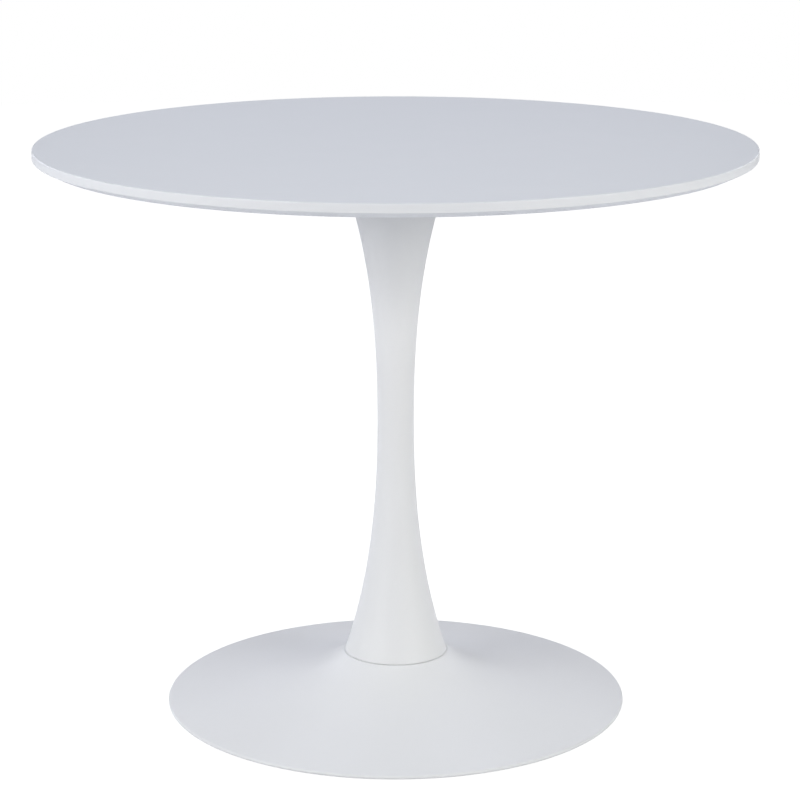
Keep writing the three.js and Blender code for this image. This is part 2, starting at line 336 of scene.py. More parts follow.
def topLacquer(values):
    material, tree, shader, place = startMaterial("topLacquer", {"IOR": 1.5})
    patches = useGroup(tree, "softPatches", place, scale=values["patchScale"])["Mask"]
    grain = useGroup(tree, "coatGrain", place, **values["grain"])
    rub = useGroup(tree, "edgeHighlightAndWear", place, **values["rub"])["Mask"]
    scratches = useGroup(tree, "hairScratches", place, density=values["scratchDensity"])["Mask"]
    colour = mixColours(tree, patches, values["colour"], values["patch"])
    # painted highlight: convex edges mixed towards a lighter white
    colour = mixColours(tree, rub, colour, values["rubbed"], values["rubMix"])
    tree.links.new(colour, shader.inputs["Base Color"])
    gloss = addRange(tree, patches, 0.0, 1.0, *values["gloss"])
    dulled = addMath(tree, "MULTIPLY", scratches, values["scratchGloss"])
    gloss = addMath(tree, "ADD", gloss, dulled, True)
    tree.links.new(gloss, shader.inputs["Roughness"])
    cut = addMath(tree, "MULTIPLY", scratches, values["scratchDepth"])
    addBump(tree, shader, addMath(tree, "SUBTRACT", grain["Height"], cut), *values["relief"])
    return material


powderValues = {
    "colour": (0.822, 0.824, 0.828),
    "speckle": (0.787, 0.790, 0.796),
    "speckleMix": 0.55,
    "patchScale": 7.0,
    "grain": {"rippleScale": 320.0, "pebbleScale": 1500.0, "pebbleShare": 0.65},
    # the edge mask and the lighter edge colour below paint a highlight along the convex edges
    "rub": {"start": 0.52, "full": 0.58, "breakUp": 35.0},
    "rubbed": (0.84, 0.842, 0.845),
    "rubMix": 0.5,
    "gloss": (0.46, 0.58),
    "relief": (0.35, 0.00006),
}


def powderCoat(name, values):
    material, tree, shader, place = startMaterial(name, {"IOR": 1.48})
    patches = useGroup(tree, "softPatches", place, scale=values["patchScale"])["Mask"]
    grain = useGroup(tree, "coatGrain", place, **values["grain"])
    rub = useGroup(tree, "edgeHighlightAndWear", place, **values["rub"])["Mask"]
    colour = mixColours(tree, grain["Speckle"], values["colour"], values["speckle"], values["speckleMix"])
    # painted highlight: convex edges mixed towards a lighter white
    colour = mixColours(tree, rub, colour, values["rubbed"], values["rubMix"])
    tree.links.new(colour, shader.inputs["Base Color"])
    tree.links.new(addRange(tree, patches, 0.0, 1.0, *values["gloss"]), shader.inputs["Roughness"])
    addBump(tree, shader, grain["Height"], *values["relief"])
    return material


def grainedFinish(name, start, values):
    # two tones in slow patches, a grain in gloss and relief, and edges rubbed to a third tone
    material, tree, shader, place = startMaterial(name, start)
    patches = useGroup(tree, "softPatches", place, scale=values["patchScale"])["Mask"]
    grain = useGroup(tree, "coatGrain", place, **values["grain"])
    colour = mixColours(tree, patches, values["colour"], values["patch"], values["patchMix"])
    if "rub" in values:
        rub = useGroup(tree, "edgeHighlightAndWear", place, **values["rub"])["Mask"]
        colour = mixColours(tree, rub, colour, values["rubbed"], values["rubMix"])
    tree.links.new(colour, shader.inputs["Base Color"])
    tree.links.new(addRange(tree, grain["Speckle"], 0.0, 1.0, *values["gloss"]), shader.inputs["Roughness"])
    addBump(tree, shader, grain["Height"], *values["relief"])
    return material


ironValues = {
    "colour": (0.052, 0.053, 0.056),
    "patch": (0.080, 0.079, 0.078),
    "patchScale": 14.0,
    "patchMix": 1.0,
    "grain": {"rippleScale": 110.0, "pebbleScale": 620.0, "pebbleShare": 0.6},
    "gloss": (0.55, 0.78),
    "relief": (0.6, 0.0005),
}

zincValues = {
    "colour": (0.66, 0.68, 0.70),
    "patch": (0.60, 0.60, 0.56),
    "patchScale": 90.0,
    "patchMix": 1.0,
    "grain": {"rippleScale": 900.0, "pebbleScale": 3200.0, "pebbleShare": 0.5},
    "rub": {"start": 0.53, "full": 0.7, "breakUp": 400.0},
    "rubbed": (0.45, 0.45, 0.46),
    "rubMix": 0.6,
    "gloss": (0.22, 0.38),
    "relief": (0.15, 0.00003),
}

brassValues = {
    "colour": (0.72, 0.53, 0.24),
    "patch": (0.46, 0.32, 0.13),
    "patchScale": 120.0,
    "patchMix": 1.0,
    "grain": {"rippleScale": 1100.0, "pebbleScale": 3600.0, "pebbleShare": 0.5},
    "gloss": (0.25, 0.42),
    "relief": (0.2, 0.00003),
}

nylonValues = {
    "colour": (0.70, 0.70, 0.67),
    "patch": (0.50, 0.49, 0.46),
    "patchScale": 60.0,
    "patchMix": 0.25,
    "grain": {"rippleScale": 700.0, "pebbleScale": 2400.0, "pebbleShare": 0.7},
    "rub": {"start": 0.52, "full": 0.6, "breakUp": 220.0},
    "rubbed": (0.50, 0.49, 0.46),
    "rubMix": 0.25,
    "gloss": (0.45, 0.62),
    "relief": (0.25, 0.00005),
}


materials = {
    "top_lacquer": topLacquer(lacquerValues),
    "white_powder_coat": powderCoat("whitePowderCoat", powderValues),
    "spider_coat": powderCoat("spiderPowderCoat", powderValues),
    "painted_iron": grainedFinish("primedIron", {"IOR": 1.5}, ironValues),
    "zinc_steel": grainedFinish("zincSteel", {"Metallic": 1.0}, zincValues),
    "insert_brass": grainedFinish("turnedBrass", {"Metallic": 1.0}, brassValues),
    "glide_nylon": grainedFinish("mouldedNylon", {"IOR": 1.53}, nylonValues),
}
print("materials ready:", len(materials))


# floor

floorValues = {
    "radius": 6.0,
    "sides": 64,
    "colour": (0.82, 0.825, 0.845),
    "roughness": 0.9,
    "white": 1.19,
    "share": 0.85,
}


def studioFloor(values):
    # a pale matt sheet that the camera sees nearly burnt out to white, with a trace of shadow left in it
    material, tree, shader = startMaterial("paleFloor", {"Roughness": values["roughness"]})[:3]
    shader.inputs["Base Color"].default_value = (*values["colour"], 1)
    glow = tree.nodes.new("ShaderNodeEmission")
    glow.inputs["Strength"].default_value = values["white"]
    lightPath = tree.nodes.new("ShaderNodeLightPath")
    mixed = tree.nodes.new("ShaderNodeMixShader")
    output = tree.nodes["Material Output"]
    seen = addMath(tree, "MULTIPLY", lightPath.outputs["Is Camera Ray"], values["share"])
    tree.links.new(seen, mixed.inputs["Fac"])
    tree.links.new(shader.outputs["BSDF"], mixed.inputs[1])
    tree.links.new(glow.outputs["Emission"], mixed.inputs[2])
    tree.links.new(mixed.outputs["Shader"], output.inputs["Surface"])
    mesh = bpy.data.meshes.new("studioFloor")
    ring = [2 * math.pi * i / values["sides"] for i in range(values["sides"])]
    corners = [(values["radius"] * math.cos(a), values["radius"] * math.sin(a), 0) for a in ring]
    mesh.from_pydata(corners, [], [list(range(values["sides"]))])
    floor = bpy.data.objects.new("studioFloor", mesh)
    mesh.materials.append(material)
    scene.collection.objects.link(floor)


studioFloor(floorValues)


# mesh helpers

def arc(centre, radius, start, end, steps):
    # points of a round stretch of a half-section, angles in degrees
    angles = [math.radians(start + (end - start) * i / steps) for i in range(steps + 1)]
    return [(centre[0] + radius * math.cos(a), centre[1] + radius * math.sin(a)) for a in angles]


def roundedCorner(before, corner, after, radius, steps):
    # replaces a corner of a half-section by a round, with a point just outside each end to hold the flats
    a, b, c = Vector(before), Vector(corner), Vector(after)
    inward, outward = (a - b).normalized(), (c - b).normalized()
    half = inward.angle(outward) / 2
    reach = radius / math.tan(half)
    centre = b + (inward + outward).normalized() * radius / math.sin(half)
    start, end = b + inward * reach - centre, b + outward * reach - centre
    swept = start.angle_signed(end)
    points = [b + inward * min(reach * 1.2, (a - b).length * 0.98)]
    for i in range(steps + 1):
        points.append(centre + Matrix.Rotation(-swept * i / steps, 2) @ start)
    points.append(b + outward * min(reach * 1.2, (c - b).length * 0.98))
    return [tuple(p) for p in points]


def softened(section, rounds, steps=4, closed=False):
    # section with a round of the given radius at the listed corners
    points = []
    count = len(section)
    for i, point in enumerate(section):
        radius = rounds.get(i, 0)
        if radius and (closed or 0 < i < count - 1):
            points += roundedCorner(section[i - 1], point, section[(i + 1) % count], radius, steps)
        else:
            points.append(point)
    return points


def turnedMesh(section, sides, closed=False):
    # half-section (radius, height) turned about the z axis; points on the axis become poles
    mesh = bmesh.new()
    rings = []
    for radius, height in section:
        if radius < 1e-7:
            rings.append([mesh.verts.new((0, 0, height))])
            continue
        ring = []
        for i in range(sides):
            angle = 2 * math.pi * i / sides
            ring.append(mesh.verts.new((radius * math.cos(angle), radius * math.sin(angle), height)))
        rings.append(ring)
    pairs = list(zip(rings, rings[1:]))
    if closed:
        pairs.append((rings[-1], rings[0]))
    for low, high in pairs:
        for i in range(sides):
            j = (i + 1) % sides
            corners = [low[i % len(low)], low[j % len(low)], high[j % len(high)], high[i % len(high)]]
            corners = list(dict.fromkeys(corners))
            if len(corners) > 2:
                mesh.faces.new(corners)
    bmesh.ops.recalc_face_normals(mesh, faces=mesh.faces)
    return mesh


def plug(radius, bottom, top, sides=32, rounds=None):
    # closed cylinder on the z axis
    section = [(0, bottom), (radius, bottom), (radius, top), (0, top)]
    return turnedMesh(softened(section, rounds or {}), sides)


def plugsAt(places, *sizes):
    return [moved(plug(*sizes), (p.x, p.y, 0)) for p in places]


def plainMesh(shape):
    data = bpy.data.meshes.new("shape")
    shape.to_mesh(data)
    shape.free()
    return data


def moved(shape, place=(0, 0, 0), turn=0.0):
    shape.transform(Matrix.Translation(place) @ Matrix.Rotation(turn, 4, "Z"))
    return shape


def joined(shapes):
    whole = bmesh.new()
    for shape in shapes:
        data = shape if isinstance(shape, bpy.types.Mesh) else plainMesh(shape)
        whole.from_mesh(data)
        bpy.data.meshes.remove(data)
    return whole


def combined(target, other, operation):
    # exact union, difference or intersection of two closed shapes
    holders = []
    for shape in (target, other):
        holder = bpy.data.objects.new("holder", plainMesh(shape))
        scene.collection.objects.link(holder)
        holders.append(holder)
    modifier = holders[0].modifiers.new("combine", "BOOLEAN")
    modifier.operation = operation
    modifier.solver = "EXACT"
    modifier.object = holders[1]
    bpy.context.view_layer.update()
    data = bpy.data.meshes.new_from_object(holders[0].evaluated_get(bpy.context.evaluated_depsgraph_get()))
    for holder in holders:
        spent = holder.data
        bpy.data.objects.remove(holder)
        bpy.data.meshes.remove(spent)
    made = bmesh.new()
    made.from_mesh(data)
    bpy.data.meshes.remove(data)
    bmesh.ops.remove_doubles(made, verts=made.verts, dist=1e-6)
    return made


def eased(shape, width, segments=2, angle=30.0):
    # small rounds along the edges that turn by more than the angle
    sharp = [e for e in shape.edges if len(e.link_faces) == 2 and e.calc_face_angle(0) > math.radians(angle)]
    bmesh.ops.bevel(shape, geom=sharp, offset=width, segments=segments, profile=0.5, affect="EDGES",
                    clamp_overlap=True)
    bmesh.ops.remove_doubles(shape, verts=shape.verts, dist=1e-6)
    return shape


def prism(outline, bottom, top):
    # closed outline of (x, y) points raised from bottom to top
    mesh = bmesh.new()
    low = [mesh.verts.new((x, y, bottom)) for x, y in outline]
    high = [mesh.verts.new((x, y, top)) for x, y in outline]
    mesh.faces.new(low[::-1])
    mesh.faces.new(high)
    for i in range(len(outline)):
        j = (i + 1) % len(outline)
        mesh.faces.new((low[i], low[j], high[j], high[i]))
    bmesh.ops.recalc_face_normals(mesh, faces=mesh.faces)
    return mesh


def hexagon(acrossFlats):
    corner = acrossFlats / math.sqrt(3)
    return [(corner * math.cos(math.pi * i / 3), corner * math.sin(math.pi * i / 3)) for i in range(6)]


def makeObject(name, shape, material, sharpAngle=35.0):
    data = shape if isinstance(shape, bpy.types.Mesh) else plainMesh(shape)
    data.name = name
    data.materials.clear()
    data.materials.append(material)
    data.polygons.foreach_set("use_smooth", [True] * len(data.polygons))
    data.polygons.foreach_set("material_index", [0] * len(data.polygons))
    data.set_sharp_from_angle(angle=math.radians(sharpAngle))
    made = bpy.data.objects.new(name, data)
    scene.collection.objects.link(made)
    return made


def settle(piece, body, slot, *nodes):
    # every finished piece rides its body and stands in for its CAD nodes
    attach(piece, body)
    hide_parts(*nodes)
    return piece


def middle(node):
    low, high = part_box(node)
    return (low + high) / 2


# Geometry Nodes trees

def newTree(name, numbers, others=()):
    # a geometry tree that takes numbers, then the other named inputs, then a material
    tree = bpy.data.node_groups.new(name, "GeometryNodeTree")
    tree.interface.new_socket("Geometry", in_out="INPUT", socket_type="NodeSocketGeometry")
    sockets = {}
    for label, value in numbers.items():
        kind = "NodeSocketInt" if isinstance(value, int) else "NodeSocketFloat"
        socket = tree.interface.new_socket(label, in_out="INPUT", socket_type=kind)
        socket.default_value = value
        sockets[label] = socket.identifier
    for label, kind in (*others, ("Material", "NodeSocketMaterial")):
        socket = tree.interface.new_socket(label, in_out="INPUT", socket_type=kind)
        sockets[label] = socket.identifier
    tree.interface.new_socket("Geometry", in_out="OUTPUT", socket_type="NodeSocketGeometry")
    return tree, tree.nodes.new("NodeGroupInput"), tree.nodes.new("NodeGroupOutput"), sockets


def finishTree(tree, given, result, geometry):
    realize = tree.nodes.new("GeometryNodeRealizeInstances")
    paint = tree.nodes.new("GeometryNodeSetMaterial")
    tree.links.new(geometry, realize.inputs["Geometry"])
    tree.links.new(realize.outputs["Geometry"], paint.inputs["Geometry"])
    tree.links.new(given.outputs["Material"], paint.inputs["Material"])
    tree.links.new(paint.outputs["Geometry"], result.inputs["Geometry"])


def readPosition(tree):
    place = tree.nodes.new("GeometryNodeInputPosition")
    split = tree.nodes.new("ShaderNodeSeparateXYZ")
    tree.links.new(place.outputs["Position"], split.inputs["Vector"])
    return [split.outputs[axis] for axis in "XYZ"]


def setPosition(tree, geometry, x, y, z):
    merge = tree.nodes.new("ShaderNodeCombineXYZ")
    for axis, value in zip("XYZ", (x, y, z)):
        tree.links.new(value, merge.inputs[axis])
    move = tree.nodes.new("GeometryNodeSetPosition")
    tree.links.new(geometry, move.inputs["Geometry"])
    tree.links.new(merge.outputs["Vector"], move.inputs["Position"])
    return move.outputs["Geometry"]


def sums(tree):
    # short names for the three sums that the trees use most
    return [partial(addMath, tree, operation) for operation in ("ADD", "SUBTRACT", "MULTIPLY")]


def trumpetTree():
    # a waisted tube: a flat grid rolled up, its radius following the flare rule from end to end
    tree, given, result, sockets = newTree("trumpetTube", {
        "End Radius": 0.066,
        "Waist Radius": 0.023,
        "Length": 0.6,
        "Roundness": 0.5,
        "Wall": 0.002,
        "End Round": 0.001,
        "Rings": 96,
        "Sides": 160,
    })
    plus, minus, times = sums(tree)
    rings, wall = given.outputs["Rings"], given.outputs["Wall"]
    across = plus(given.outputs["Sides"], 1.0)
    last = plus(times(rings, 2.0), 1.0)
    grid = tree.nodes.new("GeometryNodeMeshGrid")
    tree.links.new(across, grid.inputs["Vertices X"])
    tree.links.new(plus(last, 2.0), grid.inputs["Vertices Y"])
    x, y = readPosition(tree)[:2]
    turn = times(plus(x, 0.5), 2 * math.pi)
    step = addMath(tree, "ROUND", times(plus(y, 0.5), plus(last, 1.0)))
    back = minus(last, step)
    even = addMath(tree, "DIVIDE", addMath(tree, "MINIMUM", step, back), rings, True)
    beyond = addMath(tree, "GREATER_THAN", step, plus(rings, 0.5))
    inside = times(beyond, addMath(tree, "LESS_THAN", step, plus(last, 0.5)))
    # rings stand closer together towards both ends
    swing = addMath(tree, "COSINE", times(even, math.pi))
    share = minus(0.5, times(swing, 0.5))
    reach = addMath(tree, "ABSOLUTE", minus(times(share, 2.0), 1.0))
    square = times(reach, reach)
    cube = times(square, reach)
    roundness = given.outputs["Roundness"]
    flare = plus(times(square, roundness), times(cube, minus(1.0, roundness)))
    waist = given.outputs["Waist Radius"]
    spread = minus(given.outputs["End Radius"], waist)
    outer = plus(waist, times(spread, flare))
    height = times(share, given.outputs["Length"])
    toEnd = addMath(tree, "MINIMUM", height, minus(given.outputs["Length"], height))
    endRound = given.outputs["End Round"]
    into = addMath(tree, "MAXIMUM", minus(endRound, toEnd), 0.0)
    chord = minus(times(endRound, endRound), times(into, into))
    ease = minus(endRound, addMath(tree, "SQRT", addMath(tree, "MAXIMUM", chord, 0.0)))
    onOutside = minus(outer, ease)
    onInside = plus(minus(outer, wall), ease)
    radius = plus(times(onInside, inside), times(onOutside, minus(1.0, inside)))
    x, y = [times(radius, addMath(tree, operation, turn)) for operation in ("COSINE", "SINE")]
    rolled = setPosition(tree, grid.outputs["Mesh"], x, y, height)
    weld = tree.nodes.new("GeometryNodeMergeByDistance")
    weld.inputs["Distance"].default_value = 1e-6
    tree.links.new(rolled, weld.inputs["Geometry"])
    finishTree(tree, given, result, weld.outputs["Geometry"])
    return tree, sockets


def threadTree():
    # a rod with a right-hand thread rolled into it, centred on the origin, running out at both ends
    tree, given, result, sockets = newTree("rolledThread", {
        "Radius": 0.004,
        "Length": 0.012,
        "Pitch": 0.00125,
        "Depth": 0.0007,
        "Steps Per Turn": 8,
        "Sides": 28,
    })
    minus, times = sums(tree)[1:]
    turns = addMath(tree, "DIVIDE", given.outputs["Length"], given.outputs["Pitch"])
    rings = addMath(tree, "ROUND", times(turns, given.outputs["Steps Per Turn"]))
    rod = tree.nodes.new("GeometryNodeMeshCylinder")
    tree.links.new(given.outputs["Sides"], rod.inputs["Vertices"])
    tree.links.new(rings, rod.inputs["Side Segments"])
    tree.links.new(given.outputs["Radius"], rod.inputs["Radius"])
    tree.links.new(given.outputs["Length"], rod.inputs["Depth"])
    x, y, z = readPosition(tree)
    turn = addMath(tree, "DIVIDE", addMath(tree, "ARCTAN2", y, x), 2 * math.pi)
    phase = minus(addMath(tree, "DIVIDE", z, given.outputs["Pitch"]), turn)
    wave = times(addMath(tree, "PINGPONG", phase, 0.5), 2.0)
    flank = times(minus(wave, 0.12), 1.3, True)
    halfLength = times(given.outputs["Length"], 0.5)
    toEnd = minus(halfLength, addMath(tree, "ABSOLUTE", z))
    runOut = minus(1.0, addMath(tree, "DIVIDE", toEnd, given.outputs["Pitch"]), True)
    cut = addMath(tree, "MAXIMUM", flank, runOut)
    depth = addMath(tree, "DIVIDE", given.outputs["Depth"], given.outputs["Radius"])
    share = minus(1.0, times(cut, depth))
    rolled = setPosition(tree, rod.outputs["Mesh"], times(x, share), times(y, share), z)
    finishTree(tree, given, result, rolled)
    return tree, sockets


def hardwareTree():
    # one copy of a piece of hardware on every point of the carrying mesh, each turned by its own amount
    tree, given, result, sockets = newTree(
        "placedHardware",
        {"Least Turn": 0.0, "Most Turn": math.pi / 3, "Seed": 3},
        [("Piece", "NodeSocketObject")],
    )
    info = tree.nodes.new("GeometryNodeObjectInfo")
    tree.links.new(given.outputs["Piece"], info.inputs["Object"])
    random = tree.nodes.new("FunctionNodeRandomValue")
    random.data_type = "FLOAT"
    least, most = [s for s in random.inputs if s.enabled and s.name in ("Min", "Max")]
    tree.links.new(given.outputs["Least Turn"], least)
    tree.links.new(given.outputs["Most Turn"], most)
    tree.links.new(given.outputs["Seed"], random.inputs["Seed"])
    turned = tree.nodes.new("ShaderNodeCombineXYZ")
    tree.links.new(next(s for s in random.outputs if s.enabled), turned.inputs["Z"])
    copies = tree.nodes.new("GeometryNodeInstanceOnPoints")
    tree.links.new(given.outputs["Geometry"], copies.inputs["Points"])
    tree.links.new(info.outputs["Geometry"], copies.inputs["Instance"])
    tree.links.new(turned.outputs["Vector"], copies.inputs["Rotation"])
    finishTree(tree, given, result, copies.outputs["Instances"])
    return tree, sockets


trees = {"trumpet": trumpetTree(), "thread": threadTree(), "hardware": hardwareTree()}


def grown(kind, values, carrier=None):
    # puts the tree on a carrying mesh, and gives back the plain mesh that it makes
    tree, sockets = trees[kind]
    carrier = carrier or bpy.data.meshes.new("carrier")
    holder = bpy.data.objects.new("holder", carrier)
    scene.collection.objects.link(holder)
    modifier = holder.modifiers.new("shape", "NODES")
    modifier.node_group = tree
    for label, value in values.items():
        modifier[sockets[label]] = value
    bpy.context.view_layer.update()
    evaluated = holder.evaluated_get(bpy.context.evaluated_depsgraph_get())
    data = bpy.data.meshes.new_from_object(evaluated)
    holder.modifiers.remove(modifier)
    bpy.data.objects.remove(holder)
    bpy.data.meshes.remove(carrier)
    made = bmesh.new()
    made.from_mesh(data)
    bpy.data.meshes.remove(data)
    bmesh.ops.recalc_face_normals(made, faces=made.faces)
    return made


def threaded(radius, length, pitch, depth, sides, material, steps=8):
    return grown("thread", {
        "Radius": radius, "Length": length, "Pitch": pitch, "Depth": depth,
        "Steps Per Turn": steps, "Sides": sides, "Material": material,
    })


def placedCopies(shape, places, material, seed):
    # the same shape at each place, as one mesh
    pattern = bpy.data.objects.new("pattern", plainMesh(shape))
    scene.collection.objects.link(pattern)
    carrier = bpy.data.meshes.new("carrier")
    carrier.from_pydata([tuple(p) for p in places], [], [])
    made = grown("hardware", {"Piece": pattern, "Seed": seed, "Material": material}, carrier)
    spent = pattern.data
    bpy.data.objects.remove(pattern)
    bpy.data.meshes.remove(spent)
    return made


# tabletop

topValues = {
    "arris": 0.0018,
    "bandHeight": 0.011,
    "bevelInset": 0.0145,
    "lowRound": 0.0014,
    "holeDepth": 0.0126,
    "holeWall": 0.0003,
    "overcut": 0.004,
    "sides": 320,
}


def insertPlaces():
    return [middle(f"insert_{n}") for n in range(1, 9)]


def makeTabletop(values):
    low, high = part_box("tabletop")
    edge = high.x
    inset = edge - values["bevelInset"]
    outline = [
        (0, low.z), (inset * 0.97, low.z), (inset, low.z), (edge, high.z - values["bandHeight"]),
        (edge, high.z), (inset, high.z), (0, high.z),
    ]
    rounds = {2: values["lowRound"], 3: values["lowRound"], 4: values["arris"]}
    disc = turnedMesh(softened(outline, rounds, steps=6), values["sides"])
    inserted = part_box("insert_1")
    holeRadius = (inserted[1].x - inserted[0].x) / 2 + values["holeWall"]
    holes = plugsAt(insertPlaces(), holeRadius, low.z - values["overcut"], low.z + values["holeDepth"])
    mesh = combined(disc, joined(holes), "DIFFERENCE")
    top = makeObject("bevelledTop", mesh, materials["top_lacquer"], sharpAngle=50)
    print("tabletop:", round(edge * 2, 3), "across")
    return settle(top, "table", "top_lacquer", "tabletop")


makeTabletop(topValues)


# column

columnValues = {
    "waist": 0.0232,
    "roundness": 0.55,
    "wall": 0.002,
    "endRound": 0.00095,
    "rings": 110,
    "sides": 176,
}


def makeColumn(values):
    low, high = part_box("column_shell")
    mesh = grown("trumpet", {
        "End Radius": high.x,
        "Waist Radius": values["waist"],
        "Length": high.z - low.z,
        "Roundness": values["roundness"],
        "Wall": values["wall"],
        "End Round": values["endRound"],
        "Rings": values["rings"],
        "Sides": values["sides"],
        "Material": materials["white_powder_coat"],
    })
    mesh = moved(mesh, (0, 0, low.z))
    column = makeObject("trumpetColumn", mesh, materials["white_powder_coat"], sharpAngle=60)
    print("column:", round(high.z - low.z, 3), "long")
    return settle(column, "table", "white_powder_coat", "column_shell")


makeColumn(columnValues)


# foot

footValues = {
    "wall": 0.0015,
    "seatEdge": 0.002,
    "holeInset": 0.0055,
    "flareDrop": 0.031,
    "flareReach": 0.045,
    "rimHeight": 0.005,
    "lip": 0.0065,
    "landRound": 0.0016,
    "rings": 80,
    "sides": 288,
}


def makeFoot(values):
    low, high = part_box("base_cover")
    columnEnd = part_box("column_shell")[1].x
    rimRadius = values["rimHeight"] / 2
    start, end = columnEnd + values["seatEdge"], high.x - rimRadius
    crown, rimTop = high.z, low.z + values["rimHeight"]

    def curve(radius):
        return values["flareDrop"] * (1 - math.exp((start - radius) / values["flareReach"]))

    coneDrop = crown - rimTop - curve(end)

    def height(radius):
        return crown - curve(radius) - coneDrop * (radius - start) / (end - start)

    def inner(radius):
        slope = (height(radius + 0.0005) - height(radius - 0.0005)) / 0.001
        return height(radius) - values["wall"] * math.hypot(1, slope)

    count = values["rings"]
    radii = [start + (end - start) * (i / count) ** 1.5 for i in range(count)]
    hole = columnEnd - values["holeInset"]
    land = roundedCorner((hole, crown), (start, crown), (radii[8], height(radii[8])), values["landRound"], 4)
    beyond = [r for r in radii if r > land[-1][0] + 0.0003]
    rimCentre = (end, low.z + rimRadius)
    section = (
        [(hole, crown)]
        + land
        + [(r, height(r)) for r in beyond]
        + arc(rimCentre, rimRadius, 90, -90, 16)
        + [(end - values["lip"] + 0.0003, low.z), (end - values["lip"], low.z + 0.0003)]
        + [(end - values["lip"], low.z + values["wall"])]
        + arc(rimCentre, rimRadius - values["wall"], -90, 90, 8)
        + [(r, inner(r)) for r in radii[::-1]]
        + [(hole, crown - values["wall"])]
    )
    mesh = turnedMesh(section, values["sides"], closed=True)
    foot = makeObject("flaredFoot", mesh, materials["white_powder_coat"], sharpAngle=60)
    print("foot:", round(high.x * 2, 3), "across")
    return settle(foot, "table", "white_powder_coat", "base_cover")


makeFoot(footValues)


# iron weight inside the foot

castingValues = {
    "thickness": 0.0075,
    "roof": 0.014,
    "pocketRadius": 0.042,
    "pocketTaper": 0.003,
    "bossRadius": 0.056,
    "bossFillet": 0.007,
    "shoulderDrop": 0.0023,
    "spigotInset": 0.0058,
    "glideBoss": 0.010,
    "glideBossHeight": 0.0025,
    "glideBossSink": 0.002,
    "glideBossRound": 0.001,
    "glideBore": 0.0043,
    "rodBore": 0.0065,
    "castRound": 0.0018,
    "seatRound": 0.0009,
    "overcut": 0.01,
    "sides": 144,
}


def glidePlaces():
    return [middle(f"glide_{n}_pad") for n in range(1, 6)]


def makeCasting(values):
    low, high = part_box("base_casting")
    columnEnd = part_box("column_shell")[1].x
    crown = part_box("base_cover")[1].z
    shoulder = crown - values["shoulderDrop"]
    roof, top = high.z - values["roof"], low.z + values["thickness"]
    pocket, boss = values["pocketRadius"], values["bossRadius"]
    spigot, flare = columnEnd - values["spigotInset"], columnEnd - boss
    outline = [
        (0, roof), (pocket - values["pocketTaper"], roof), (pocket, low.z), (high.x, low.z), (high.x, top),
        (boss, top), (boss, shoulder - 2 * flare), (columnEnd, shoulder - flare), (columnEnd, shoulder),
        (spigot, shoulder), (spigot, high.z), (0, high.z),
    ]
    rounds = {i: values["castRound"] for i in (1, 2, 3, 4, 6, 7, 10)}
    rounds.update({5: values["bossFillet"], 8: values["seatRound"]})
    body = turnedMesh(softened(outline, rounds, steps=5), values["sides"])
    over = values["overcut"]
    start, end = low.z + values["glideBossSink"], top + values["glideBossHeight"]
    pads = plugsAt(glidePlaces(), values["glideBoss"], start, end, 48, {2: values["glideBossRound"]})
    bores = plugsAt(glidePlaces(), values["glideBore"], low.z - over, high.z)
    bores.append(plug(values["rodBore"], roof - over, high.z + over, 48))
    mesh = combined(body, joined(pads), "UNION")
    mesh = combined(mesh, joined(bores), "DIFFERENCE")
    casting = makeObject("ironWeight", mesh, materials["painted_iron"], sharpAngle=40)
    print("iron weight:", len(pads), "glide bosses")
    return settle(casting, "table", "painted_iron", "base_casting")


makeCasting(castingValues)


# spider under the top

spiderValues = {
    "armThickness": 0.005,
    "armWidth": 0.044,
    "armRoot": 0.046,
    "armReach": 0.250,
    "flangeThickness": 0.004,
    "flangeReach": 0.240,
    "flangeTip": 0.001,
    "flangeLap": 0.0025,
    "flangeLift": 0.002,
    "spigotRound": 0.002,
    "hubDepth": 0.0214,
    "wellRadius": 0.040,
    "wellDepth": 0.0175,
    "spigotInset": 0.0058,
    "screwHole": 0.0035,
    "rodBore": 0.0065,
    "edgeRound": 0.0008,
    "slip": 0.0001,
    "overcut": 0.01,
    "arms": 4,
}


def spiderArm(values, top, hubBottom, hubRadius):
    half, root, slip = values["armWidth"] / 2, values["armRoot"], values["slip"]
    curve = [(values["armReach"] + half * math.cos(a), half * math.sin(a))
             for a in (math.pi * (i / 24 - 0.5) for i in range(25))]
    underside = top - values["armThickness"]
    plate = prism([(root, -half)] + curve + [(root, half)], underside, top - slip)
    plate = eased(plate, values["edgeRound"])
    reach, start, lap = values["flangeReach"], hubBottom + values["flangeLift"], underside + values["flangeLap"]
    profile = [
        (root, start), (hubRadius, start), (reach, underside - values["flangeTip"]), (reach, lap), (root, lap),
    ]
    flanges = []
    for side in (half - slip, values["flangeThickness"] - half + slip):
        flange = prism(profile, -side, values["flangeThickness"] - side)
        flange.transform(Matrix.Rotation(math.pi / 2, 4, "X"))
        bmesh.ops.recalc_face_normals(flange, faces=flange.faces)
        flanges.append(eased(flange, values["edgeRound"]))
    return combined(plate, joined(flanges), "UNION")


